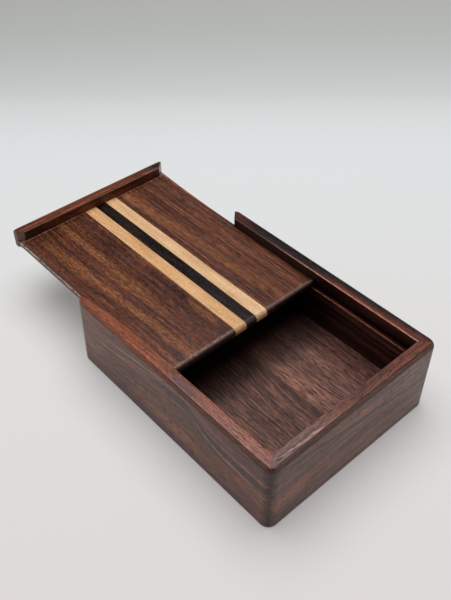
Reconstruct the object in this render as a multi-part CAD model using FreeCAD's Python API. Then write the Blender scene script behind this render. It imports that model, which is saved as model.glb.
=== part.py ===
"""Sliding lid keepsake box in hardwood, built piece by piece.

Four mitred walls hold a two-board floor in one groove and guide a laminated lid in another.
The front wall is low: the strip that would close it rides on the lid as its pull bar.
Units are millimetres, +Z is up and the lid is drawn out along -X.
The origin is under the middle of the whole length, with the lid drawn out by lid_drawn_out.
"""
import FreeCAD
import Part

import math
import os

Vector = FreeCAD.Vector

# ---- Driving dimensions: the box ----
box_length = 186.0          # outside, along X
box_width = 144.0           # outside, along Y
box_height = 57.0
wall = 9.5                  # thickness of all four walls
corner_radius = 6.5         # the four upright corners, seen from above
open_corner_radius = 9.5    # what hand work made of the right front corner at its top
rim_radius = 3.0            # round on the outer top arris
base_radius = 1.0           # round on the outer bottom arris
rim_ease = 0.7              # slight round on the inner top arris

# ---- Driving dimensions: the floor ----
floor_thickness = 6.5
floor_rise = 6.9            # underside of the floor above the table
floor_groove_depth = 5.0
floor_edge_gap = 0.5        # room left in the groove for the boards to swell
floor_seam_y = 6.3          # glue seam between the two boards, from the middle

# ---- Driving dimensions: the lid and its grooves ----
ledge_below_rim = 14.8      # from the rim down to the lower face of the lid groove
lid_groove_depth = 3.9
lid_thickness = 6.8
lid_gap_below = 0.3         # running clearance under the lid
lid_gap_above = 0.6         # running clearance over the lid
lid_side_tongue = 2.65      # how far the middled lid reaches into each side groove
lid_end_tongue = 1.5        # how far the shut lid reaches into the back groove
lid_corner_radius = 3.5     # inner corners of the lid, seen from above
lid_top_round = 3.0
lid_bottom_round = 2.5
maple_width = 9.4
ebony_width = 9.1
stripe_offset = 5.0         # middle of the ebony strip, from the middle of the box
lid_lean = 0.9              # side play taken up: the lid rests over to the left
lid_drawn_out = 88.5        # how far open the lid stands
# Towards the pull bar each edge of the lid widens along an arc.
left_sweep = 2.8
left_sweep_length = 85.0
right_sweep = 1.0
right_sweep_length = 7.0
sweep_gap = 0.35            # the left groove follows the left sweep this far off

# ---- Driving dimensions: the pull bar and the eased lip ----
rabbet_depth = 5.2          # how far the lid is let into the pull bar
closing_gap = 0.75          # between the mitres of the pull bar and of the shut box
bar_trim = 6.3              # the right tip of the pull bar is sawn off this far in
lip_ease = 6.0              # widest part of the bevel on the right lip, at the open end
lip_ease_length = 68.0
lip_ease_lean = 30.0        # degrees between that bevel and the upright

# ---- Worked out from the above ----
half_length = box_length / 2
half_width = box_width / 2
inner_x = half_length - wall
inner_y = half_width - wall
lid_ledge = box_height - ledge_below_rim      # also the top of the front wall
lid_bottom = lid_ledge + lid_gap_below
lid_top = lid_bottom + lid_thickness
groove_top = lid_top + lid_gap_above
lid_half_width = inner_y + lid_side_tongue
lid_outer_x = -inner_x - rabbet_depth         # back of the rabbet in the pull bar
lid_inner_x = inner_x + lid_end_tongue
over = 5.0                                    # how far cutting blocks overshoot


def block(x_low, x_high, y_low, y_high, z_low, z_high):
    """A box between two corners."""
    size = (x_high - x_low, y_high - y_low, z_high - z_low)
    return Part.makeBox(*size, Vector(x_low, y_low, z_low))


def prism(points, z_low, z_high):
    """An upright prism on a flat outline of (x, y) points."""
    corners = [Vector(x, y, z_low) for x, y in points]
    outline = Part.makePolygon(corners + corners[:1])
    return Part.Face(outline).extrude(Vector(0, 0, z_high - z_low))


def edges_at(shape, test):
    """The edges whose two ends both pass the test."""
    return [edge for edge in shape.Edges if all(test(vertex.Point) for vertex in edge.Vertexes)]


def near(value, target):
    """Whether two sizes are the same but for rounding."""
    return abs(value - target) < 1e-6


def is_upright(edge):
    """Whether a straight edge runs straight up."""
    start, end = (vertex.Point for vertex in edge.Vertexes)
    return near(start.x, end.x) and near(start.y, end.y)


def rounded_block():
    """The outside of the shut box: round corners, a round rim and an eased base."""
    body = block(-half_length, half_length, -half_width, half_width, 0, box_height)

    def at_open_corner(point):
        return near(point.x, -half_length) and near(point.y, -half_width)

    even_corners = [edge for edge in body.Edges
                    if is_upright(edge) and not at_open_corner(edge.Vertexes[0].Point)]
    body = body.makeFillet(corner_radius, even_corners)
    body = body.makeFillet(corner_radius, open_corner_radius, edges_at(body, at_open_corner))
    body = body.makeFillet(rim_radius, edges_at(body, lambda p: near(p.z, box_height)))
    return body.makeFillet(base_radius, edges_at(body, lambda p: near(p.z, 0)))


def shell():
    """The shut box hollowed right through, with the inner top arris eased."""
    hollow = rounded_block().cut(
        block(-inner_x, inner_x, -inner_y, inner_y, -over, box_height + over))
    arris = edges_at(hollow, lambda p: near(p.z, box_height)
                     and abs(p.x) < inner_x + 0.1 and abs(p.y) < inner_y + 0.1)
    return hollow.makeFillet(rim_ease, arris)


def groove_ring(depth, z_low, z_high):
    """The block that cuts one groove right round the inside of the walls."""
    x, y = inner_x + depth, inner_y + depth
    return block(-x, x, -y, y, z_low, z_high)


def side_outline(side):
    """Footprint of a side wall, mitred at both ends; side is -1 on the right, 1 on the left."""
    outer, inner = side * half_width, side * inner_y
    return [(-half_length, outer), (half_length, outer), (inner_x, inner), (-inner_x, inner)]


def end_outline(end, gap=0.0):
    """Footprint of an end wall; end is -1 at the front. The gap sets both mitres back."""
    outer, inner = end * half_length, end * inner_x
    back = gap * math.sqrt(2)
    return [(outer, -half_width + back), (outer, half_width - back),
            (inner, inner_y - back), (inner, -inner_y + back)]


def walls():
    """The four fixed walls, with the floor groove and the lid groove cut in them."""
    floor_groove = groove_ring(floor_groove_depth, floor_rise, floor_rise + floor_thickness)
    lid_groove = groove_ring(lid_groove_depth, lid_ledge, groove_top)
    grooved = shell().cut([floor_groove, lid_groove, swept_groove()])

    def wall_piece(outline, top):
        return grooved.common(prism(outline, -over, top))

    right = wall_piece(side_outline(-1), box_height + over).cut(lip_ease_cutter())
    return {
        "right_side_wall": right,
        "left_side_wall": wall_piece(side_outline(1), box_height + over),
        "back_wall": wall_piece(end_outline(1), box_height + over),
        "front_wall": wall_piece(end_outline(-1), lid_ledge),
    }


def lip_ease_cutter():
    """The bevel on the right lip: nothing at its start, lip_ease wide at the open end.

    The bevel is a stretch of one large leaning cylinder that leaves the straight lip smoothly.
    """
    lean = math.radians(lip_ease_lean)
    depth = lip_ease * math.cos(lean)
    radius = (lip_ease_length ** 2 + depth ** 2) / (2 * depth)
    start = Vector(-half_length + lip_ease_length, -inner_y, box_height)
    up = Vector(0, -math.sin(lean), math.cos(lean))
    outward = Vector(0, -math.cos(lean), -math.sin(lean))
    kept = Part.makeCylinder(radius, 2 * box_height, start + outward * radius - up * box_height, up)
    lip = block(-half_length - over, start.x, -half_width - over, -inner_y + over,
                groove_top, box_height + over)
    return lip.cut(kept)


def swept_groove():
    """The part of the left groove that makes room for the sweep of the shut lid."""
    level = Vector(0, lid_lean + sweep_gap, lid_ledge - lid_bottom)
    room = Part.Face(lid_outline(over)).extrude(Vector(0, 0, groove_top - lid_ledge))
    room.translate(level)
    return room.common(block(-half_length, half_length, 0, half_width, 0, box_height))


def floor_boards():
    """Two boards edge glued along floor_seam_y, held loosely in the floor groove."""
    reach = floor_groove_depth - floor_edge_gap
    x, y = inner_x + reach, inner_y + reach
    top = floor_rise + floor_thickness
    return {
        "floor_board_right": block(-x, x, -y, floor_seam_y, floor_rise, top),
        "floor_board_left": block(-x, x, floor_seam_y, y, floor_rise, top),
    }


def swept_edge(side, sweep, length):
    """One long edge of the lid: straight, then an arc that widens it towards the bar."""
    radius = (length ** 2 + sweep ** 2) / (2 * sweep)
    turn = math.asin(length / radius)
    start = Vector(lid_outer_x + length, side * lid_half_width, lid_bottom)

    def on_sweep(share):
        angle = share * turn
        out = radius * (1 - math.cos(angle))
        return start + Vector(-radius * math.sin(angle), side * out, 0)

    inner = Vector(lid_inner_x, side * lid_half_width, lid_bottom)
    arc = Part.Arc(on_sweep(0), on_sweep(0.5), on_sweep(1)).toShape()
    return [Part.makeLine(inner, on_sweep(0)), arc], inner, on_sweep(1)


def lid_outline(extra=0.0):
    """The lid seen from above, middled; extra lengthens its outer end."""
    left, left_inner, left_outer = swept_edge(1, left_sweep, left_sweep_length)
    right, right_inner, right_outer = swept_edge(-1, right_sweep, right_sweep_length)
    ends = [Part.makeLine(left_inner, right_inner)]
    if extra:
        far_left, far_right = (p - Vector(extra, 0, 0) for p in (left_outer, right_outer))
        ends += [Part.makeLine(left_outer, far_left), Part.makeLine(right_outer, far_right),
                 Part.makeLine(far_left, far_right)]
    else:
        ends.append(Part.makeLine(left_outer, right_outer))
    return Part.Wire(Part.sortEdges(left + right + ends)[0])


def lid_panel():
    """The glued-up lid before it is parted into its strips, in the shut place."""
    panel = Part.Face(lid_outline()).extrude(Vector(0, 0, lid_thickness))
    inner_corners = filter(is_upright, edges_at(panel, lambda p: near(p.x, lid_inner_x)))
    panel = panel.makeFillet(lid_corner_radius, list(inner_corners))

    def rim(level):
        """The free edges at one level, all but the one glued into the pull bar."""
        glued = edges_at(panel, lambda p: near(p.x, lid_outer_x))
        return [edge for edge in edges_at(panel, lambda p: near(p.z, level))
                if not any(edge.isSame(other) for other in glued)]

    panel = panel.makeFillet(lid_top_round, rim(lid_top))
    return panel.makeFillet(lid_bottom_round, rim(lid_bottom))


def lid_strips():
    """The five glued strips of the lid, from the right edge to the left."""
    panel = lid_panel()
    half_ebony = ebony_width / 2
    middle = stripe_offset - lid_lean
    edge = half_width + over
    seams = [-edge,
             middle - half_ebony - maple_width,
             middle - half_ebony,
             middle + half_ebony,
             middle + half_ebony + maple_width,
             edge]
    names = ["lid_board_right", "lid_maple_right", "lid_ebony_strip",
             "lid_maple_left", "lid_board_left"]
    strips = {}
    for name, y_low, y_high in zip(names, seams, seams[1:]):
        slab = block(lid_outer_x - over, lid_inner_x + over, y_low, y_high,
                     lid_bottom - over, lid_top + over)
        strips[name] = panel.common(slab)
    return strips


def pull_bar():
    """The sawn-off top of the front wall, rabbeted over the end of the lid."""
    bar = shell().common(prism(end_outline(-1, closing_gap), lid_bottom, box_height + over))
    rabbet = block(lid_outer_x, inner_x, -half_width, half_width, lid_bottom - over, lid_top)
    tip = block(-half_length, inner_x, -half_width, -half_width + bar_trim, 0, box_height + over)
    return {"pull_bar": bar.cut([rabbet, tip])}


def placed(pieces, x, y=0.0):
    """The same pieces moved along X and Y, each as one clean solid."""
    moved = {}
    for name, shape in pieces.items():
        solid = shape.removeSplitter().Solids[0]
        solid.translate(Vector(x, y, 0))
        moved[name] = solid
    return moved


def main():
    """Build every piece with the lid drawn out, write it and print its size."""
    box_x = lid_drawn_out / 2
    fixed = {**walls(), **floor_boards()}
    sliding = {**lid_strips(), **pull_bar()}
    parts = {**placed(fixed, box_x), **placed(sliding, box_x - lid_drawn_out, lid_lean)}
    os.makedirs("parts", exist_ok=True)
    for name, solid in parts.items():
        solid.exportStep(os.path.join("parts", name + ".step"))
        box = solid.BoundBox
        print(f"{name:20s} {solid.Volume / 1000:8.2f} cm3  valid {solid.isValid()}  "
              f"x {box.XMin:8.2f} {box.XMax:8.2f}  y {box.YMin:7.2f} {box.YMax:7.2f}  "
              f"z {box.ZMin:6.2f} {box.ZMax:6.2f}")


main()
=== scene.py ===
"""Dress the sliding lid keepsake box: oiled hardwoods, a pale studio and the camera.

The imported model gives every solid. This script gives each board its own timber, board by
board as a maker would pick them, and sets up the floor, the lamp and the camera.
Places on the boards are written in millimetres in the model's own frame, and colours as a
screen shows them, from 0 to 255.
"""
from __future__ import annotations

import logging
import math
from dataclasses import asdict, dataclass, replace
from enum import Enum
from types import SimpleNamespace
from typing import Any

import bpy
from mathutils import Euler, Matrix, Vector

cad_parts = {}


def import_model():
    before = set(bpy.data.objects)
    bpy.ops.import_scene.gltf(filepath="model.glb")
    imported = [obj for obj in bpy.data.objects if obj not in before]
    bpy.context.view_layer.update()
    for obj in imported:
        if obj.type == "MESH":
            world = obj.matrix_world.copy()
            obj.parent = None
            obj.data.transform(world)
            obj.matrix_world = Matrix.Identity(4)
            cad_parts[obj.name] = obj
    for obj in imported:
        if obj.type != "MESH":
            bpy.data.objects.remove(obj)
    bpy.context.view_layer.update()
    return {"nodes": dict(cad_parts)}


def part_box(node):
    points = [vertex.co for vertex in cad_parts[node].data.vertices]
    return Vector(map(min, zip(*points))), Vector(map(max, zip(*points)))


log = logging.getLogger("keepsake_box")

MILLIMETRE = 0.001

Socket = bpy.types.NodeSocket
Tree = bpy.types.NodeTree
Screen = tuple[int, int, int]
Pair = tuple[float, float]
Triple = tuple[float, float, float]


def linear(colour: Screen) -> Triple:
    """Turn a colour as a screen shows it into the linear one that shaders work in.

    Args:
        colour: Red, green and blue, from 0 to 255.

    Returns:
        The linear colour, from 0 to 1.
    """
    def straighten(value: int) -> float:
        """Undo a screen's curve for one of the three."""
        share = value / 255
        return share / 12.92 if share <= 0.04045 else ((share + 0.055) / 1.055) ** 2.4

    red, green, blue = colour
    return straighten(red), straighten(green), straighten(blue)


class GrainAxis(Enum):
    """How a board lies: the model's axes that run along, across and through it."""

    SIDE_WALL = ((1, 0, 0), (0, 0, 1), (0, 1, 0))
    END_WALL = ((0, 1, 0), (0, 0, 1), (1, 0, 0))
    PANEL = ((1, 0, 0), (0, 1, 0), (0, 0, 1))
    BAR = ((0, 1, 0), (1, 0, 0), (0, 0, 1))


# ---------------------------------------------------------------- node building


def label(key: str) -> str:
    """Write the name of an effect's input with spaces and a capital."""
    return key.replace("_", " ").capitalize()


class NodeBench:
    """A bench to build one node tree on: it adds nodes and joins them.

    Wherever a value is asked for, a socket or a plain value will do.
    """

    def __init__(self, tree: Tree) -> None:
        """Take the tree to build in."""
        self.tree = tree

    def node(self, kind: str, *values: Any, **settings: Any) -> bpy.types.Node:
        """Add a node and feed it.

        Args:
            kind: Its type, without the ShaderNode in front.
            values: What its first inputs get, in order. None leaves one as it is.
            settings: Its properties.

        Returns:
            The new node.
        """
        made = self.tree.nodes.new("ShaderNode" + kind)
        for name, value in settings.items():
            setattr(made, name, value)
        for socket, value in zip(made.inputs, values):
            self.feed(socket, value)
        return made

    def feed(self, socket: Socket, value: Any) -> None:
        """Join a socket to the input, or set the input to a plain value.

        Args:
            socket: The input.
            value: The socket or the value. A colour may leave out its alpha.
        """
        if isinstance(value, Socket):
            self.tree.links.new(value, socket)
        elif socket.type == "RGBA" and value is not None:
            socket.default_value = (*value, 1.0)
        elif value is not None:
            socket.default_value = value

    def math(self, operation: str, *values: Any, clamp: bool = False) -> Socket:
        """Put a Math node to work on one to three numbers."""
        return self.node("Math", *values, operation=operation, use_clamp=clamp).outputs[0]

    def plus(self, first: Any, second: Any) -> Socket:
        """Add two numbers."""
        return self.math("ADD", first, second)

    def minus(self, first: Any, second: Any) -> Socket:
        """Take the second number away from the first."""
        return self.math("SUBTRACT", first, second)

    def times(self, first: Any, second: Any) -> Socket:
        """Multiply two numbers."""
        return self.math("MULTIPLY", first, second)

    def over(self, first: Any, second: Any) -> Socket:
        """Divide the first number by the second."""
        return self.math("DIVIDE", first, second)

    def line(self, value: Any, slope: Any, start: Any) -> Socket:
        """Multiply a number by a slope and add a start."""
        return self.math("MULTIPLY_ADD", value, slope, start)

    def dot(self, first: Any, second: Any) -> Socket:
        """Tell how far the first vector reaches along the second."""
        return self.node("VectorMath", first, second, operation="DOT_PRODUCT").outputs["Value"]

    def scale(self, vector: Any, factor: Any) -> Socket:
        """Multiply a vector or a colour by a number."""
        return self.node("VectorMath", vector, None, None, factor, operation="SCALE").outputs[0]

    def join(self, x: Any, y: Any, z: Any) -> Socket:
        """Make a vector from three numbers."""
        return self.node("CombineXYZ", x, y, z).outputs[0]

    def split(self, vector: Any) -> tuple[Socket, ...]:
        """Give the three numbers of a vector."""
        return tuple(self.node("SeparateXYZ", vector).outputs)

    def ease(self, value: Any, low: Any, high: Any) -> Socket:
        """Rise smoothly from 0 to 1 while the value goes from low to high."""
        return self.node("MapRange", value, low, high, interpolation_type="SMOOTHSTEP").outputs[0]

    def mix(self, share: Any, first: Any, second: Any, blend: str = "MIX") -> Socket:
        """Mix two colours.

        Args:
            share: How much of the second one there is, from 0 to 1.
            first: The colour below.
            second: The colour above.
            blend: The kind of blend.

        Returns:
            The mixed colour.
        """
        made = self.node("Mix", share, data_type="RGBA", blend_type=blend, clamp_factor=True)
        below, above = (socket for socket in made.inputs if socket.type == "RGBA")
        self.feed(below, first)
        self.feed(above, second)
        return next(socket for socket in made.outputs if socket.type == "RGBA")

    def noise(self, place: Any, detail: float, roughness: float) -> Socket:
        """Look up a noise whose cells are one unit wide."""
        return self.node("TexNoise", place, None, 1.0, detail, roughness).outputs[0]

    def fibres(self, place: Any, length: Any, width: Any) -> Socket:
        """Squash a place on a board, so that a noise looked up there has cells like fibres.

        Args:
            place: The place, in millimetres.
            length: How long a fibre is.
            width: How wide and how thick it is.

        Returns:
            The squashed place.
        """
        along, across, through = self.split(place)
        return self.join(self.over(along, length), self.over(across, width),
                         self.over(through, width))

    def effect(self, tree: Tree, **values: Any) -> Socket:
        """Place a shared effect and feed it.

        Args:
            tree: The effect's node group.
            values: Its inputs by name.

        Returns:
            Its first output.
        """
        made = self.node("Group", node_tree=tree)
        for key, value in values.items():
            self.feed(made.inputs[label(key)], value)
        return made.outputs[0]


class EffectBench(NodeBench):
    """A bench for a shared effect, which has its inputs by name and one result."""

    def __init__(self, name: str, vectors: str = "", numbers: str = "",
                 kind: str = "Float") -> None:
        """Start the effect's node group.

        Args:
            name: The effect's name.
            vectors: The names of the inputs that are vectors, with a space between them.
            numbers: The names of those that are numbers.
            kind: What the result is: Float or Vector.
        """
        super().__init__(bpy.data.node_groups.new(name, "ShaderNodeTree"))
        inputs = [(key, "Vector") for key in vectors.split()]
        inputs += [(key, "Float") for key in numbers.split()]
        for key, sort in inputs:
            self.tree.interface.new_socket(label(key), in_out="INPUT",
                                           socket_type="NodeSocket" + sort)
        self.tree.interface.new_socket("Result", in_out="OUTPUT",
                                       socket_type="NodeSocket" + kind)
        start = self.tree.nodes.new("NodeGroupInput")
        self.given = SimpleNamespace(**{key: start.outputs[place]
                                        for place, (key, _) in enumerate(inputs)})

    def finish(self, result: Socket) -> Tree:
        """Give the effect its result, and get its tree."""
        self.feed(self.tree.nodes.new("NodeGroupOutput").inputs[0], result)
        return self.tree


class Effects:
    """The effects that several timbers share, each one a node group that is built once."""

    # One swing of the grain is so many times as wide as it reaches. Two boards whose seeds
    # differ by 1 lie this far apart in the noise.
    swing_width: float = 9.0
    seed_gap: float = 137.0
    # Growth lines come in three sets: how many times finer, their detail and their share.
    line_sets: tuple[Triple, ...] = ((0.35, 2.0, 0.27), (1.0, 2.0, 0.33), (2.6, 1.0, 0.4))
    # Where pores open in the noise, how much lower that is for a full share of pores, and
    # how fast they open.
    pore_level: float = 0.72
    pore_reach: float = 0.3
    pore_rise: float = 0.1
    # A streak is full within the first share of its half width and gone past the second,
    # and it fades over this share of its length at each end.
    streak_core: float = 0.25
    streak_rim: float = 1.35
    streak_fade: float = 0.22
    mitre_thickness: float = 0.22
    mitre_reach: float = 0.2
    # The mitre's line is this much wider at the foot, and only there does it have this
    # share of its strength.
    foot_opening: float = 1.5
    foot_strength: float = 0.6
    corner_reach: float = 6.5

    def __init__(self, inside: Triple, wall: float) -> None:
        """Build every effect.

        Args:
            inside: The inside's middle X, its length and its width, in millimetres.
            wall: The thickness of the walls, in millimetres.
        """
        self.inside = inside
        self.wall = wall
        self.board_place = self._board_place()
        self.wander = self._wander()
        self.hump = self._hump()
        self.grain_lines = self._grain_lines()
        self.flecks = self._flecks()
        self.pores = self._pores()
        self.streak = self._streak()
        self.rounded_edge = self._rounded_edge()
        self.upper_face = self._upper_face()
        self.mitre_line = self._mitre_line()
        self.dark_corner = self._dark_corner()

    def _board_place(self) -> Tree:
        """Where on the board a point is: along, across and through it, in millimetres."""
        bench = EffectBench("board place", "along across through", kind="Vector")
        place = bench.node("TexCoord").outputs["Object"]
        ways = (bench.given.along, bench.given.across, bench.given.through)
        return bench.finish(bench.join(*(bench.over(bench.dot(place, way), MILLIMETRE)
                                         for way in ways)))

    def _wander(self) -> Tree:
        """Let the grain wander sideways as it runs along, and tell boards apart by a seed."""
        bench = EffectBench("grain wander", "place", "seed reach length", kind="Vector")
        given = bench.given
        along, across, through = bench.split(given.place)
        slow = bench.over(along, given.length)
        wide = bench.over(across, bench.times(given.reach, self.swing_width))
        swing = bench.noise(bench.join(slow, wide, given.seed), detail=1.5, roughness=0.5)
        aside = bench.times(bench.minus(swing, 0.5), given.reach)
        start = bench.times(given.seed, self.seed_gap)
        return bench.finish(bench.join(bench.plus(along, start), bench.plus(across, aside),
                                       bench.plus(through, start)))

    def _hump(self) -> Tree:
        """Bend the grain up over a hidden knot: a slow rise before it, a steeper fall after."""
        bench = EffectBench("grain hump", "place", "centre level rise before after reach",
                            kind="Vector")
        given = bench.given
        along, across, through = bench.split(given.place)
        offset = bench.minus(along, given.centre)
        ahead = bench.math("GREATER_THAN", offset, 0.0)
        width = bench.plus(given.before,
                           bench.times(ahead, bench.minus(given.after, given.before)))
        away = bench.over(bench.minus(across, given.level), given.reach)
        spread = bench.plus(bench.math("POWER", bench.over(offset, width), 2.0),
                            bench.math("POWER", away, 2.0))
        lift = bench.times(given.rise, bench.math("EXPONENT", bench.times(spread, -1.0)))
        return bench.finish(bench.join(along, bench.minus(across, lift), through))

    def _grain_lines(self) -> Tree:
        """Growth lines, some broad and some fine, that run along the board."""
        bench = EffectBench("grain lines", "grain", "spacing length")
        total: Any = 0.0
        for finer, detail, share in self.line_sets:
            place = bench.fibres(bench.given.grain, bench.over(bench.given.length, finer ** 0.5),
                                 bench.over(bench.given.spacing, finer))
            lines = bench.ease(bench.noise(place, detail, roughness=0.55), low=0.38, high=0.62)
            total = bench.plus(total, bench.times(lines, share))
        return bench.finish(total)

    def _flecks(self) -> Tree:
        """Short light and dark flecks where the fibres dip in and out of the surface."""
        bench = EffectBench("flecks", "grain", "width length")
        place = bench.fibres(bench.given.grain, bench.given.length, bench.given.width)
        return bench.finish(bench.ease(bench.noise(place, detail=2.0, roughness=0.7),
                                       low=0.3, high=0.7))

    def _pores(self) -> Tree:
        """Open pores: short dark dashes along the grain."""
        bench = EffectBench("pores", "grain", "width length share")
        place = bench.fibres(bench.given.grain, bench.given.length, bench.given.width)
        level = bench.minus(self.pore_level, bench.times(bench.given.share, self.pore_reach))
        return bench.finish(bench.ease(bench.noise(place, detail=1.0, roughness=0.4), level,
                                       bench.plus(level, self.pore_rise)))

    def _streak(self) -> Tree:
        """One streak of another colour that runs along the board and fades at both ends."""
        bench = EffectBench("streak", "place", "start end level slope half_width ragged")
        given = bench.given
        along, across, _ = bench.split(given.place)
        run = bench.minus(along, given.start)
        frayed = bench.noise(bench.fibres(given.place, length=26.0, width=3.0),
                             detail=3.0, roughness=0.6)
        shift = bench.times(bench.minus(frayed, 0.5), given.ragged)
        middle = bench.plus(given.level, bench.times(run, given.slope))
        off = bench.math("ABSOLUTE", bench.minus(bench.plus(across, shift), middle))
        body = bench.minus(1.0, bench.ease(off, bench.times(given.half_width, self.streak_core),
                                           bench.times(given.half_width, self.streak_rim)))
        share = bench.over(run, bench.minus(given.end, given.start))
        opening = bench.ease(share, 0.0, self.streak_fade)
        closing = bench.ease(share, 1.0, 1.0 - self.streak_fade)
        return bench.finish(bench.times(body, bench.times(opening, closing)))

    def _rounded_edge(self) -> Tree:
        """Find the rounded edges: there the surface faces none of the three axes squarely."""
        bench = EffectBench("rounded edge")
        x, y, z = (bench.math("ABSOLUTE", part)
                   for part in bench.split(bench.node("TexCoord").outputs["Normal"]))
        squarest = bench.math("MAXIMUM", x, bench.math("MAXIMUM", y, z))
        return bench.finish(bench.ease(squarest, low=0.995, high=0.86))

    def _upper_face(self) -> Tree:
        """Find the faces that look up, with the rounding beside them."""
        bench = EffectBench("upper face")
        height = bench.split(bench.node("TexCoord").outputs["Normal"])[2]
        return bench.finish(bench.ease(height, low=0.15, high=0.4))

    def _past_inside(self, bench: NodeBench) -> tuple[Socket, ...]:
        """Tell how far a point is past the inside of the box, in millimetres.

        Args:
            bench: The effect's bench.

        Returns:
            How far it is past the inside's ends and past its sides, and its height.
        """
        middle, length, width = self.inside
        place = bench.scale(bench.node("TexCoord").outputs["Object"], 1 / MILLIMETRE)
        x, y, height = bench.split(place)
        from_middle = bench.math("ABSOLUTE", bench.minus(x, middle))
        past_end = bench.minus(from_middle, length / 2)
        past_side = bench.minus(bench.math("ABSOLUTE", y), width / 2)
        return past_end, past_side, height

    def _mitre_line(self) -> Tree:
        """The thin glue line on the mitre plane of each corner, a little open at the foot."""
        bench = EffectBench("mitre line")
        past_end, past_side, height = self._past_inside(bench)
        off = bench.math("ABSOLUTE", bench.minus(past_end, past_side))
        foot = bench.ease(height, low=9.0, high=5.0)
        thickness = bench.times(self.mitre_thickness, bench.line(foot, self.foot_opening, 1.0))
        close = bench.minus(1.0, bench.ease(off, bench.times(thickness, 0.5), thickness))
        outside = bench.math("GREATER_THAN", bench.plus(past_end, past_side), -self.mitre_reach)
        strength = bench.line(foot, self.foot_strength, 1.0 - self.foot_strength)
        return bench.finish(bench.times(bench.times(close, outside), strength))

    def _dark_corner(self) -> Tree:
        """Where shade is painted on the box's upright corners."""
        bench = EffectBench("dark corner")
        past_end, past_side, _ = self._past_inside(bench)
        nearness = bench.math("MINIMUM", past_end, past_side)
        return bench.finish(bench.ease(nearness, self.wall - self.corner_reach, self.wall))


# ---------------------------------------------------------------- finishes


@dataclass(frozen=True)
class Streak:
    """A streak that the maker would look for when laying out a board, in millimetres."""

    start: float
    end: float
    level: float
    half_width: float
    colour: Screen
    strength: float = 0.9
    slope: float = 0.0
    ragged: float = 3.0


def side_by_side(streak: Streak, count: int, step: float) -> tuple[Streak, ...]:
    """Repeat a streak across a board.

    Args:
        streak: The first one.
        count: How many there are.
        step: How far the next one lies from the last, in millimetres.

    Returns:
        The streaks.
    """
    return tuple(replace(streak, level=streak.level + step * place) for place in range(count))


@dataclass(frozen=True)
class Hump:
    """A place where the grain bends up over a hidden knot, in millimetres."""

    centre: float
    level: float
    rise: float
    before: float
    after: float
    reach: float


@dataclass(frozen=True)
class Timber:
    """A kind of wood and how it is finished. Lengths are in millimetres."""

    dark: Screen
    middle: Screen
    light: Screen
    line_spacing: float
    line_length: float
    pore_width: float
    pore_length: float
    pore_share: float
    pore_colour: Screen
    wander_reach: float
    wander_length: float
    figure: float
    fleck_width: float
    fleck_length: float
    fleck_contrast: float
    roughness: float
    roughness_spread: float
    refraction: float
    relief: float


@dataclass(frozen=True)
class Board:
    """One board as it was cut from the timber: how it lies, its seed and its own marks.

    The levels of its streaks are measured across the board. Those of its rim are measured
    through it, and only its upper faces and their roundings take them.
    Shade is painted on the board where the stored lid shades it: in full up to the first
    place along it in `covered`, and the board has its full colour past the second one.
    Where `inner_side` is given, the tint, the streaks and the painted lid shade are those
    of its inner side, and they fade out between these two places through the board.
    """

    node: str
    axes: GrainAxis
    timber: Timber
    seed: float
    tint: Triple | None = None
    humps: tuple[Hump, ...] = ()
    streaks: tuple[Streak, ...] = ()
    rim: tuple[Streak, ...] = ()
    covered: Pair | None = None
    inner_side: Pair | None = None
    mitred: bool = False


@dataclass(frozen=True)
class Grain:
    """The grain at a point of a board: its place, in millimetres, and masks from 0 to 1."""

    place: Socket
    lines: Socket
    figure: Socket
    flecks: Socket
    pores: Socket


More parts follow.
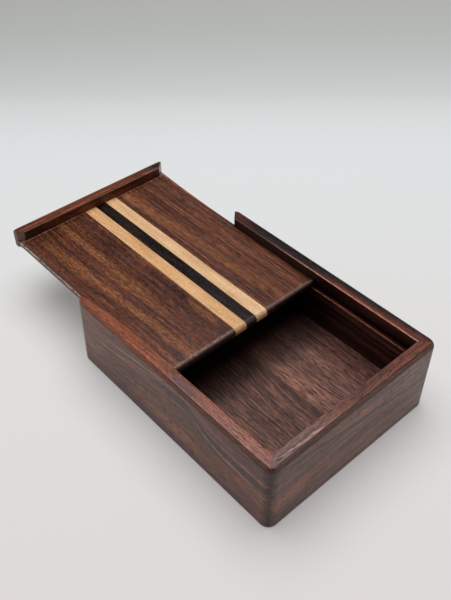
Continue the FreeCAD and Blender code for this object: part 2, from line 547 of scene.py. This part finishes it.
class WoodWorker:
    """Turns a board's description into a material and puts it on the board's node."""

    mitre_colour: Screen = (40, 22, 17)
    # The upright corners take painted shade: their colour times this.
    corner_shade_tone: float = 0.12
    # Under the stored lid the boards take painted shade: their colour times this.
    lid_shade_tone: float = 0.34
    # Rounded edges are mixed towards this pale grey: partly wear, partly painted sheen.
    worn_and_sheen_colour: Screen = (138, 116, 108)
    worn_and_sheen_share: float = 0.15
    # The figure's bands are so many times broader and longer than the growth lines.
    figure_breadth: float = 5.0
    figure_length: float = 1.6
    # How readily the darkest fibres take a streak, and how much more the lightest do.
    fibre_least: float = 0.6
    fibre_spread: float = 0.6
    pore_darkness: float = 0.8
    pore_roughness: float = 0.2
    edge_polish: float = 0.06
    line_height: float = 0.4
    pore_depth: float = 0.6
    relief_strength: float = 0.5

    def __init__(self, effects: Effects) -> None:
        """Take the shared effects."""
        self.effects = effects

    def material(self, board: Board) -> bpy.types.Material:
        """Make the board's material.

        Args:
            board: The board.

        Returns:
            A new material with the board's grain, pores, streaks and sheen.
        """
        made = bpy.data.materials.new(board.node + "_timber")
        made.use_nodes = True
        bench = NodeBench(made.node_tree)
        shader = made.node_tree.nodes["Principled BSDF"]
        grain = self._grain(bench, board)
        edge = bench.effect(self.effects.rounded_edge)
        # Rounded edges turn pale grey: partly wear, partly painted sheen.
        colour = bench.mix(bench.times(edge, self.worn_and_sheen_share),
                           self._colour(bench, board, grain), linear(self.worn_and_sheen_colour))
        if board.mitred:
            colour = self._corner_marks(bench, colour)
        bench.feed(shader.inputs["Base Color"], colour)
        self._sheen(bench, shader, board.timber, grain, edge)
        return made

    def _grain(self, bench: NodeBench, board: Board) -> Grain:
        """Run the grain through the board.

        Args:
            bench: The material's bench.
            board: The board.

        Returns:
            The grain.
        """
        timber, effects = board.timber, self.effects
        along, across, through = board.axes.value
        place = bench.effect(effects.board_place, along=along, across=across, through=through)
        for hump in board.humps:
            place = bench.effect(effects.hump, place=place, **asdict(hump))
        grain = bench.effect(effects.wander, place=place, seed=board.seed,
                             reach=timber.wander_reach, length=timber.wander_length)
        return Grain(
            place=place,
            lines=bench.effect(effects.grain_lines, grain=grain, spacing=timber.line_spacing,
                               length=timber.line_length),
            figure=bench.effect(effects.grain_lines, grain=grain,
                                spacing=timber.line_spacing * self.figure_breadth,
                                length=timber.line_length * self.figure_length),
            flecks=bench.effect(effects.flecks, grain=grain, width=timber.fleck_width,
                                length=timber.fleck_length),
            pores=bench.effect(effects.pores, grain=grain, width=timber.pore_width,
                               length=timber.pore_length, share=timber.pore_share))

    def _colour(self, bench: NodeBench, board: Board, grain: Grain) -> Socket:
        """Mix the board's colour.

        Args:
            bench: The material's bench.
            board: The board.
            grain: Its grain.

        Returns:
            The colour.
        """
        timber = board.timber
        tone = bench.plus(bench.times(grain.figure, timber.figure),
                          bench.times(grain.lines, 1.0 - timber.figure))
        colour = bench.mix(bench.ease(tone, low=0.1, high=0.55), linear(timber.dark),
                           linear(timber.middle))
        colour = bench.mix(bench.ease(tone, low=0.45, high=0.95), colour, linear(timber.light))
        along, across, through = bench.split(grain.place)
        inner: Any = 1.0
        if board.inner_side:
            inner = bench.ease(through, *reversed(board.inner_side))
        if board.tint:
            colour = bench.mix(inner, colour, board.tint, "MULTIPLY")
        fibre = bench.line(grain.lines, self.fibre_spread, self.fibre_least)
        colour = self._streaked(bench, colour, grain.place, board.streaks,
                                bench.times(fibre, inner))
        above = bench.effect(self.effects.upper_face)
        colour = self._streaked(bench, colour, bench.join(along, through, across), board.rim,
                                bench.times(fibre, above))
        shade = bench.line(bench.minus(grain.flecks, 0.5), timber.fleck_contrast, 1.0)
        # Paint the stored lid's shade on the board, but not on the upper faces of its rim.
        if board.covered:
            lid_shade_mask = bench.times(inner, bench.ease(along, *reversed(board.covered)))
            if board.rim:
                lid_shade_mask = bench.times(lid_shade_mask, bench.minus(1.0, above))
            shade = bench.times(shade, bench.line(lid_shade_mask, self.lid_shade_tone - 1.0, 1.0))
        return bench.mix(bench.times(grain.pores, self.pore_darkness),
                         bench.scale(colour, shade), linear(timber.pore_colour))

    def _streaked(self, bench: NodeBench, colour: Any, place: Any,
                  streaks: tuple[Streak, ...], fibre: Any) -> Any:
        """Lay streaks over a colour.

        Args:
            bench: The material's bench.
            colour: The colour below.
            place: Where on the board the point is.
            streaks: The streaks.
            fibre: How readily the wood takes them, from 0 to 1.

        Returns:
            The streaked colour.
        """
        for streak in streaks:
            mask = bench.effect(self.effects.streak, place=place, start=streak.start,
                                end=streak.end, level=streak.level, slope=streak.slope,
                                half_width=streak.half_width, ragged=streak.ragged)
            share = bench.times(bench.times(mask, fibre), streak.strength)
            colour = bench.mix(share, colour, linear(streak.colour))
        return colour

    def _corner_marks(self, bench: NodeBench, colour: Any) -> Socket:
        """Paint shade on the upright corners and draw the mitre's glue line.

        Args:
            bench: The material's bench.
            colour: The board's colour.

        Returns:
            The colour with the painted corner shade and the glue line.
        """
        corner = bench.effect(self.effects.dark_corner)
        corner_shaded = bench.scale(colour, bench.line(corner, self.corner_shade_tone - 1.0, 1.0))
        return bench.mix(bench.effect(self.effects.mitre_line), corner_shaded,
                         linear(self.mitre_colour))

    def _sheen(self, bench: NodeBench, shader: bpy.types.Node, timber: Timber, grain: Grain,
               edge: Any) -> None:
        """Give the shader its gloss and its relief.

        Args:
            bench: The material's bench.
            shader: The Principled BSDF.
            timber: The timber and its finish.
            grain: The board's grain.
            edge: The mask of the rounded edges.
        """
        rough = bench.line(bench.minus(grain.figure, 0.5), timber.roughness_spread,
                           timber.roughness)
        rough = bench.line(grain.pores, self.pore_roughness, rough)
        rough = bench.math("MULTIPLY_ADD", edge, -self.edge_polish, rough, clamp=True)
        bench.feed(shader.inputs["Roughness"], rough)
        shader.inputs["IOR"].default_value = timber.refraction
        height = bench.minus(bench.times(grain.lines, self.line_height),
                             bench.times(grain.pores, self.pore_depth))
        bump = bench.node("Bump", self.relief_strength, timber.relief * MILLIMETRE, None, height)
        bench.feed(shader.inputs["Normal"], bump.outputs[0])

    def dress(self, nodes: dict[str, bpy.types.Object], board: Board) -> None:
        """Put the board's material on its node."""
        nodes[board.node].material_slots[0].material = self.material(board)
        log.info("dressed %s", board.node)


ROSEWOOD = Timber(
    dark=(58, 30, 22), middle=(102, 60, 43), light=(142, 88, 60),
    line_spacing=2.4, line_length=60.0, pore_width=0.55, pore_length=5.0, pore_share=0.42,
    pore_colour=(34, 17, 13), wander_reach=5.0, wander_length=90.0, figure=0.35,
    fleck_width=0.75, fleck_length=5.0, fleck_contrast=0.85,
    roughness=0.3, roughness_spread=0.1, refraction=1.35, relief=0.12)
LID_WALNUT = Timber(
    dark=(54, 28, 20), middle=(97, 57, 38), light=(136, 86, 54),
    line_spacing=2.2, line_length=40.0, pore_width=0.6, pore_length=3.6, pore_share=0.5,
    pore_colour=(34, 16, 12), wander_reach=4.0, wander_length=70.0, figure=0.35,
    fleck_width=0.7, fleck_length=3.4, fleck_contrast=1.5,
    roughness=0.25, roughness_spread=0.1, refraction=1.36, relief=0.12)
FLOOR_WALNUT = Timber(
    dark=(72, 43, 35), middle=(106, 68, 54), light=(128, 87, 71),
    line_spacing=1.4, line_length=120.0, pore_width=0.42, pore_length=8.0, pore_share=0.6,
    pore_colour=(30, 15, 12), wander_reach=2.0, wander_length=90.0, figure=0.15,
    fleck_width=0.5, fleck_length=8.0, fleck_contrast=1.6,
    roughness=0.4, roughness_spread=0.1, refraction=1.3, relief=0.12)
FINE_WALNUT = replace(LID_WALNUT, line_spacing=1.5, line_length=80.0, fleck_width=0.5,
                      fleck_length=7.0)
MAPLE = Timber(
    dark=(196, 150, 104), middle=(210, 166, 120), light=(226, 188, 144),
    line_spacing=2.0, line_length=30.0, pore_width=0.4, pore_length=1.6, pore_share=0.2,
    pore_colour=(178, 130, 84), wander_reach=3.0, wander_length=40.0, figure=0.35,
    fleck_width=0.9, fleck_length=2.2, fleck_contrast=0.36,
    roughness=0.3, roughness_spread=0.1, refraction=1.4, relief=0.05)
EBONY = Timber(
    dark=(9, 4, 3), middle=(22, 11, 9), light=(48, 28, 22),
    line_spacing=1.8, line_length=40.0, pore_width=0.4, pore_length=2.5, pore_share=0.4,
    pore_colour=(5, 4, 4), wander_reach=3.0, wander_length=60.0, figure=0.3,
    fleck_width=0.9, fleck_length=4.0, fleck_contrast=1.3,
    roughness=0.25, roughness_spread=0.1, refraction=1.32, relief=0.08)

GOLD: Screen = (156, 99, 60)
ORANGE: Screen = (150, 90, 58)
PURPLE_BROWN: Screen = (50, 26, 22)
# Painted sheen for the outer roundings of the rims.
SHEEN_GREY_BROWN: Screen = (66, 46, 40)


# ---------------------------------------------------------------- the box


@dataclass
class Carcass:
    """The four mitred walls."""

    wall: float = 9.5

    def inside(self) -> Triple:
        """Measure the inside of the walls.

        Returns:
            Its middle X, its length and its width, in millimetres.
        """
        _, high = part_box("back_wall")
        near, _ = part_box("right_side_wall")
        _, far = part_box("left_side_wall")
        front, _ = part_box("front_wall")
        length = (high.x - front.x) / MILLIMETRE
        width = (far.y - near.y) / MILLIMETRE
        middle = (high.x + front.x) / 2 / MILLIMETRE
        return middle, length - 2 * self.wall, width - 2 * self.wall

    def right_wall(self) -> Board:
        """Pick the right wall: grey-brown with a wave in its grain, orange along the rim."""
        streaks = (
            Streak(20, 175, 36, 2.8, (44, 32, 32), ragged=1.5),
            Streak(58, 200, 36.8, 1, (168, 124, 108), 0.7, slope=-0.11, ragged=0.8),
            Streak(-30, 180, 40.8, 0.8, (164, 120, 104), 0.75, ragged=1),
            Streak(-80, 60, 26, 0.7, (160, 116, 96), 0.7, slope=0.1, ragged=1.2),
            Streak(-72, -10, 20, 5, (152, 92, 64), 0.5, slope=0.08),
            Streak(30, 80, 12, 4.2, (152, 92, 62), 0.5),
            Streak(-46, 130, 4, 2.6, PURPLE_BROWN, 0.5),
        )
        rim = (
            Streak(-120, 75, -67, 7, (154, 74, 36), 0.8, ragged=1),
            Streak(40, 260, -66, 6, (150, 84, 67), 0.8, ragged=1),
            Streak(-60, 40, -70.2, 0.4, PURPLE_BROWN, 0.8, slope=0.06, ragged=0.8),
            *side_by_side(Streak(-58, 62, -70.9, 0.3, (72, 34, 26), slope=0.05, ragged=0.5),
                          count=5, step=1.15),
            *side_by_side(Streak(-52, 52, -70.3, 0.25, (190, 106, 62), 0.55, slope=0.05,
                                 ragged=0.5), count=4, step=1.2),
            *side_by_side(Streak(66, 146, -69.4, 0.25, (196, 130, 110), 0.5, slope=0.01,
                                 ragged=0.5), count=5, step=1.1),
            *side_by_side(Streak(70, 150, -68.9, 0.25, (96, 50, 40), 0.8, slope=0.01,
                                 ragged=0.5), count=4, step=1.25),
            Streak(-30, 60, -71.4, 0.35, PURPLE_BROWN, 0.7, slope=0.07, ragged=0.8),
            Streak(-20, 150, -64, 0.3, PURPLE_BROWN, 0.6, ragged=1),
            Streak(-60, 120, -65.4, 0.3, PURPLE_BROWN, 0.6, ragged=1),
            Streak(10, 190, -66.8, 0.3, PURPLE_BROWN, 0.6, ragged=1),
            Streak(20, 190, -68.4, 0.3, PURPLE_BROWN, 0.6, ragged=1),
            Streak(46, 72, -67.6, 2.6, (82, 62, 60), 0.8),
            Streak(60, 140, -63.3, 0.5, (164, 84, 50), 0.6, ragged=0.8),
            # Painted sheen on the rim's outer rounding and a painted dark reflection line above
            # it.
            Streak(-10, 290, -72.2, 1.5, SHEEN_GREY_BROWN, ragged=0.5),
            Streak(-10, 290, -70.4, 0.55, (44, 18, 10), 1, ragged=0.4),
        )
        return Board("right_side_wall", GrainAxis.SIDE_WALL, ROSEWOOD, seed=1.0, mitred=True,
                     humps=(Hump(64.0, 46.0, rise=13.0, before=60.0, after=15.0, reach=30.0),),
                     streaks=streaks, rim=rim)

    def left_wall(self) -> Board:
        """Pick the left wall: nearly black inside, partly its own tone and partly painted shade,
        with a dark outer edge on its rim.
        """
        streaks = (
            Streak(-80, 60, 53.6, 3.6, (96, 70, 66), 0.8, ragged=0.8),
            Streak(20, 190, 54.6, 1.3, (84, 42, 30), 0.8, ragged=0.8),
            Streak(20, 230, 38.8, 1.9, (108, 62, 52), 0.85, slope=-0.01, ragged=1),
            Streak(20, 230, 39.6, 0.3, (30, 11, 9), 0.7, slope=-0.01, ragged=0.8),
            Streak(10, 230, 35.6, 1.2, (24, 6, 5), 1, slope=-0.01, ragged=0.8),
            Streak(20, 230, 33.2, 0.7, (72, 44, 38), 0.8, slope=-0.01, ragged=0.8),
            Streak(10, 230, 30.9, 1.3, (24, 6, 5), 1, slope=-0.01, ragged=0.8),
            Streak(30, 230, 26.4, 1.9, (98, 54, 44), 0.85, slope=-0.01, ragged=1),
            Streak(10, 230, 19.8, 2.2, (34, 13, 10), ragged=1),
            Streak(30, 230, 15, 1.1, (60, 28, 19), 0.8, ragged=0.8),
            # A painted highlight along the ledge's edge and painted shade in the groove above it.
            Streak(0, 250, 41.3, 0.4, (116, 76, 66), ragged=0.2),
            Streak(0, 250, 42.5, 0.5, (20, 8, 6), 0.95, ragged=0),
        )
        rim = (
            Streak(-170, 6, 67.4, 5.5, (80, 36, 30), ragged=2),
            Streak(-40, 64, 66.6, 5, (24, 14, 13), ragged=2),
            Streak(92, 260, 66.5, 4.5, (92, 46, 36), 0.85, ragged=1.5),
            Streak(32, 210, 64.4, 1.7, (92, 42, 29), ragged=1.2),
            Streak(50, 124, 63.5, 0.8, (130, 70, 54), 0.85, ragged=0.8),
            Streak(-40, 150, 69.6, 2.4, (13, 8, 8), 0.95, ragged=1.2),
            # A painted highlight along the rim's inner arris.
            Streak(-6, 165, 62.8, 0.65, (178, 112, 92), ragged=0.3),
        )
        return Board("left_side_wall", GrainAxis.SIDE_WALL, ROSEWOOD, seed=2.3, mitred=True,
                     # The inner side is tinted nearly black: partly its own tone, partly painted
                     # shade.
                     tint=(0.26, 0.19, 0.24), covered=(46.0, 78.0), inner_side=(71.2, 71.9),
                     streaks=streaks, rim=rim)

    def back_wall(self) -> Board:
        """Pick the closed end: a dark line falls across it, its rim is grey at one end."""
        streaks = (
            Streak(-85, 90, 55, 1.8, (50, 34, 32), 0.8, slope=-0.17, ragged=1.5),
            Streak(-45, 30, 53, 2.4, (136, 84, 60), 0.35, slope=-0.1),
            Streak(-86, -34, 23, 6, (156, 96, 72), 0.7),
            Streak(-40, 90, 15, 4, (134, 78, 52), 0.4),
        )
        rim = (
            Streak(-110, 10, 132, 5, (114, 78, 70)),
            Streak(-70, -20, 133.4, 0.9, (64, 50, 50), slope=-0.05),
            Streak(-62, -38, 131, 1, (60, 48, 48), slope=0.1),
            Streak(-66, -24, 132.4, 0.5, (176, 130, 120), slope=0.04, ragged=4),
            Streak(-40, 110, 131.5, 4, (112, 52, 32), 0.85, ragged=2),
            Streak(-10, 40, 131.2, 1.2, (70, 32, 22), 0.8, slope=-0.02, ragged=2),
            Streak(-10, 80, 133.2, 0.4, PURPLE_BROWN, 0.8, slope=-0.03, ragged=1),
            Streak(-40, 110, 129.6, 0.3, PURPLE_BROWN, 0.7, ragged=1),
            Streak(-30, 110, 131.6, 0.3, PURPLE_BROWN, 0.7, slope=-0.01, ragged=1),
            # Painted sheen on the rim's outer rounding and a painted dark reflection line above
            # it.
            Streak(-110, 110, 137, 1.9, SHEEN_GREY_BROWN, ragged=0.5),
            Streak(-110, 110, 135, 0.55, (44, 18, 10), 1, ragged=0.4),
        )
        return Board("back_wall", GrainAxis.END_WALL, ROSEWOOD, seed=3.9, mitred=True,
                     tint=(1.05, 1.3, 1.7), streaks=streaks, rim=rim)

    def front_wall(self) -> Board:
        """Pick the low front wall, a plain board under the lid."""
        return Board("front_wall", GrainAxis.END_WALL, ROSEWOOD, seed=5.1, mitred=True)

    def boards(self) -> list[Board]:
        """Pick the four boards."""
        return [self.right_wall(), self.left_wall(), self.back_wall(), self.front_wall()]


@dataclass
class FloorPanel:
    """The two edge-glued floor boards."""

    # How far along each board the stored lid's painted shade is full, and where it is gone.
    left_lid_shade: Pair = (48.0, 70.0)
    right_lid_shade: Pair = (47.0, 66.0)

    def left(self) -> Board:
        """Pick the left board: plain and straight, lighter along the glued seam."""
        streaks = (
            Streak(-60, 230, 11.5, 11, (143, 97, 79), 0.75, ragged=1),
            Streak(-60, 240, 31, 9, (134, 94, 78), 0.4, ragged=2),
            Streak(-60, 240, 47, 6, (92, 60, 48), 0.5),
        )
        return Board("floor_board_left", GrainAxis.PANEL, FLOOR_WALNUT, seed=6.2,
                     tint=(0.82, 0.82, 0.96), covered=self.left_lid_shade, streaks=streaks)

    def right(self) -> Board:
        """Pick the right board: darker, with a swirl in its grain."""
        streaks = (
            Streak(30, 150, -11.5, 0.7, PURPLE_BROWN, 0.5, ragged=1),
            Streak(-10, 230, 3.6, 3, (62, 41, 35), 0.6, ragged=1),
            Streak(30, 190, -36, 9, (120, 82, 68), 0.5, ragged=4),
            Streak(62, 112, -6, 2.4, (126, 84, 66), 0.4, slope=-0.05),
        )
        return Board("floor_board_right", GrainAxis.PANEL, FLOOR_WALNUT, seed=7.7,
                     tint=(0.69, 0.67, 0.71), covered=self.right_lid_shade,
                     humps=(Hump(40.0, -2.0, rise=7.0, before=46.0, after=28.0, reach=16.0),),
                     streaks=streaks)

    def boards(self) -> list[Board]:
        """Pick the two boards."""
        return [self.left(), self.right()]


@dataclass
class SlidingLid:
    """The five strips of the lid and its pull bar.

    A streak with the half width `whole_board` crosses a board from side to side.
    """

    bar_foot: float = -127.75
    inner_end: float = 40.75
    whole_board: float = 60.0

    def foot_highlight(self, level: float) -> Streak:
        """Paint a highlight line on a board along the bar's foot."""
        return Streak(self.bar_foot - 2.4, self.bar_foot + 1.4, level, self.whole_board,
                      (150, 118, 112), 0.7, ragged=0.0)

    def end_lines(self, level: float) -> tuple[Streak, Streak]:
        """Darken a board's inner end and paint a highlight line along its arris.

        Args:
            level: The board's middle, in millimetres.

        Returns:
            The painted highlight line and the dark one.
        """
        return (Streak(self.inner_end - 2.15, self.inner_end - 0.65, level, self.whole_board,
                       (160, 132, 126), 0.5, ragged=0.0),
                Streak(self.inner_end - 1.45, self.inner_end + 3.45, level, self.whole_board,
                       (28, 17, 15), 1.0, ragged=0.0))

    def left(self) -> Board:
        """Pick the left board: straight and fine, with a dark line on its outer edge."""
        streaks = (
            Streak(-170, 90, 25, 4, GOLD, 0.4, slope=0.045),
            Streak(-150, 70, 21.6, 1.2, PURPLE_BROWN, 0.6, ragged=2),
            Streak(-60, 80, 26.2, 1.8, PURPLE_BROWN, 0.4, slope=0.02, ragged=2),
            Streak(-150, -10, 57.4, 4, (70, 43, 35), 0.45),
            Streak(-90, 30, 41, 0.6, PURPLE_BROWN, 0.6, slope=0.01, ragged=1.5),
            Streak(-120, 0, 46, 0.6, PURPLE_BROWN, 0.6, slope=-0.02, ragged=1.5),
            self.foot_highlight(45),
            *self.end_lines(45),
        )
        return Board("lid_board_left", GrainAxis.PANEL, FINE_WALNUT, seed=8.4,
                     tint=(0.98, 0.9, 0.99), streaks=streaks,
                     rim=(Streak(-150, 60, 48, 1.1, (46, 26, 21), ragged=0.2),))

    def right(self) -> Board:
        """Pick the right board: broad light and dark bands, a painted reflection along its outer
        edge.
        """
        streaks = (
            Streak(-160, 80, -18, 6.5, PURPLE_BROWN, 0.45),
            Streak(-150, 10, -31, 3.8, GOLD, 0.42, slope=-0.01),
            Streak(-140, 80, -53.5, 4, GOLD, 0.38, slope=0.06, ragged=4),
            Streak(-170, -50, -60, 3, (60, 37, 31), 0.45),
            Streak(-5, 30, -13.5, 2.8, ORANGE, 0.4),
            Streak(-120, 60, -45.6, 1.4, PURPLE_BROWN, 0.6, slope=0.07),
            self.foot_highlight(-36),
            *self.end_lines(-36),
        )
        return Board("lid_board_right", GrainAxis.PANEL, LID_WALNUT, seed=9.6,
                     tint=(0.82, 0.64, 0.56), streaks=streaks,
                     # A painted reflection along the board's outer edge.
                     rim=(Streak(-150, -40, 47.4, 0.55, (206, 186, 174), 1, ragged=0.2),))

    def pull_bar(self) -> Board:
        """Pick the bar: reddish on top, dark at both ends and along its outer arris."""
        streaks = (
            Streak(-150, 50, -132, 4, (122, 56, 26), 0.5),
            Streak(-120, 120, -136, 1.9, (70, 42, 32), 0.7, ragged=0.6),
            Streak(-78, -40, -127.6, 0.8, (20, 12, 12), 0.6, ragged=0),
            Streak(-64, -40, -131, 0.5, (180, 104, 72), 0.6),
            Streak(-30, 0, -129.6, 0.5, (176, 104, 74), 0.6),
            Streak(0, 46, -130.4, 0.5, (156, 84, 60), 0.6),
            Streak(45, 61, -129.2, 0.6, (180, 112, 90), 0.7),
            Streak(-70, -48, -134, 1.2, PURPLE_BROWN, 0.6),
            Streak(-40, -8, -130.6, 0.8, PURPLE_BROWN, 0.5),
            Streak(-16, 22, -135, 0.8, PURPLE_BROWN, 0.5),
            Streak(16, 48, -131.6, 1, PURPLE_BROWN, 0.6),
            Streak(50, 82, -132.6, 6.5, (60, 40, 33), 0.8),
            Streak(58.2, 66.2, -131.9, 1.7, (6, 3, 2), 1, ragged=0),
            Streak(-76, -64, -132.4, 9, (20, 14, 12), 1, ragged=0),
        )
        return Board("pull_bar", GrainAxis.BAR, ROSEWOOD, seed=13.2, tint=(0.68, 0.44, 0.27),
                     streaks=streaks)

    def boards(self) -> list[Board]:
        """Pick the strips from right to left, and the bar."""
        return [
            self.right(),
            Board("lid_maple_right", GrainAxis.PANEL, MAPLE, seed=10.5, tint=(0.96, 0.89, 0.81)),
            Board("lid_ebony_strip", GrainAxis.PANEL, EBONY, seed=11.5),
            Board("lid_maple_left", GrainAxis.PANEL, MAPLE, seed=12.7, tint=(1.04, 1.07, 1.15)),
            self.left(),
            self.pull_bar(),
        ]


# ---------------------------------------------------------------- the studio


@dataclass
class Studio:
    """A pale floor, one large round lamp overhead, soft light all round, and the camera.

    Lengths are in metres, and those of the camera's lens in millimetres.
    """

    floor_radius: float = 4.0
    floor_corners: int = 96
    # How far behind the box's middle the floor has each colour; its darker colours at the back
    # are painted shade.
    floor_stops: tuple[tuple[float, Screen], ...] = (
        (-0.2, (224, 219, 218)), (0.05, (222, 221, 220)), (0.25, (218, 222, 223)),
        (0.33, (209, 210, 210)), (0.37, (196, 198, 197)), (0.44, (184, 186, 185)),
        (0.52, (175, 177, 174)), (0.65, (171, 171, 169)))
    floor_tilt: float = 0.16
    # The floor glows by this share of its colour, which lightens the shadows on it.
    floor_glow: float = 0.27
    floor_roughness: float = 0.9
    floor_sheen: float = 0.2
    # Painted light: the floor grows lighter to the right, behind the box in full and in front of
    # it by this share. The rise from one to the other is between these distances.
    tilt_in_front: float = 0.2
    tilt_rise: Pair = (0.15, 0.42)
    lamp_place: Triple = (-0.33, 0.2, 1.8)
    lamp_diameter: float = 2.1
    lamp_power: float = 41.0
    sky_colour: Triple = (0.96, 0.99, 1.0)
    sky_rise: Pair = (0.1, 0.5)
    horizon: Screen = (178, 181, 180)
    sky_low: float = 0.6
    sky_high: float = 0.08
    camera_place: Triple = (0.29395, -0.2453, 0.4017)
    camera_turn: Triple = (46.747, 0.0, 48.086)
    focal_length: float = 46.42
    sensor_height: float = 36.0

    def build(self) -> None:
        """Set up the whole studio."""
        self._floor()
        self._lamp()
        self._world()
        self._camera()
        bpy.context.scene.view_settings.view_transform = "Standard"

    def _floor(self) -> None:
        """Lay the pale floor, with painted shade at the back and a little on the left, and a glow
        that lightens its shadows.
        """
        bpy.ops.mesh.primitive_circle_add(vertices=self.floor_corners,
                                          radius=self.floor_radius, fill_type="TRIFAN")
        floor = bpy.context.object
        floor.name = "studio_floor"
        made = bpy.data.materials.new("studio_floor")
        made.use_nodes = True
        bench = NodeBench(made.node_tree)
        shader = made.node_tree.nodes["Principled BSDF"]
        turn = math.radians(self.camera_turn[2])
        away = (-math.sin(turn), math.cos(turn), 0.0)
        aside = (math.cos(turn), math.sin(turn), 0.0)
        place = bench.node("TexCoord").outputs["Object"]
        distance = bench.dot(place, away)
        nearest, farthest = self.floor_stops[0][0], self.floor_stops[-1][0]
        ramp = bench.node("ValToRGB")
        ramp.color_ramp.interpolation = "B_SPLINE"
        marks = ramp.color_ramp.elements
        for count, (stop, colour) in enumerate(self.floor_stops):
            share = (stop - nearest) / (farthest - nearest)
            mark = marks[count] if count < len(marks) else marks.new(share)
            mark.position = share
            mark.color = (*linear(colour), 1.0)
        bench.feed(ramp.inputs[0], bench.over(bench.minus(distance, nearest),
                                              farthest - nearest))
        # Painted light: the floor is lighter to the right.
        far = bench.line(bench.ease(distance, *self.tilt_rise), 1.0 - self.tilt_in_front,
                         self.tilt_in_front)
        tilt = bench.times(bench.dot(place, aside), bench.times(far, self.floor_tilt))
        tone = bench.scale(ramp.outputs[0], bench.plus(tilt, 1.0))
        # The floor glows by a share of its colour, which lightens the shadows on it.
        bench.feed(shader.inputs["Base Color"], bench.mix(self.floor_glow, tone, (0, 0, 0)))
        bench.feed(shader.inputs["Emission Color"], tone)
        shader.inputs["Emission Strength"].default_value = self.floor_glow
        shader.inputs["Roughness"].default_value = self.floor_roughness
        shader.inputs["Specular IOR Level"].default_value = self.floor_sheen
        floor.data.materials.append(made)
        log.info("laid the floor")

    def _lamp(self) -> None:
        """Hang the round lamp overhead, a little behind the box."""
        light = bpy.data.lights.new("overhead_lamp", "AREA")
        light.shape = "DISK"
        light.size = self.lamp_diameter
        light.energy = self.lamp_power
        lamp = bpy.data.objects.new("overhead_lamp", light)
        lamp.location = self.lamp_place
        bpy.context.scene.collection.objects.link(lamp)
        log.info("hung the lamp")

    def _world(self) -> None:
        """Surround the box with soft light, brighter near the horizon, and a plain far wall."""
        world = bpy.data.worlds.new("studio_surround")
        world.use_nodes = True
        bpy.context.scene.world = world
        bench = NodeBench(world.node_tree)
        nodes = world.node_tree.nodes
        background = nodes["Background"]
        height = bench.split(bench.node("TexCoord").outputs["Generated"])[2]
        rise = bench.ease(height, *self.sky_rise)
        level = bench.line(rise, self.sky_high - self.sky_low, self.sky_low)
        bench.feed(background.inputs["Color"], self.sky_colour)
        bench.feed(background.inputs["Strength"], level)
        seen = bench.node("Background", linear(self.horizon))
        chooser = bench.node("MixShader", bench.node("LightPath").outputs["Is Camera Ray"],
                             background.outputs[0], seen.outputs[0])
        bench.feed(nodes["World Output"].inputs["Surface"], chooser.outputs[0])
        log.info("set the surround")

    def _camera(self) -> None:
        """Place the camera."""
        lens = bpy.data.cameras.new("camera")
        lens.sensor_fit = "VERTICAL"
        lens.sensor_height = self.sensor_height
        lens.lens = self.focal_length
        camera = bpy.data.objects.new("camera", lens)
        camera.location = Vector(self.camera_place)
        camera.rotation_euler = Euler([math.radians(turn) for turn in self.camera_turn])
        bpy.context.scene.collection.objects.link(camera)
        bpy.context.scene.camera = camera
        log.info("placed the camera")


def main() -> None:
    """Load the model, dress every board and set up the studio."""
    logging.basicConfig(level=logging.INFO, format="%(name)s: %(message)s")
    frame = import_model()
    carcass = Carcass()
    worker = WoodWorker(Effects(carcass.inside(), carcass.wall))
    for sub_assembly in (carcass, FloorPanel(), SlidingLid()):
        for board in sub_assembly.boards():
            worker.dress(frame["nodes"], board)
    Studio().build()


if __name__ == "__main__":
    main()
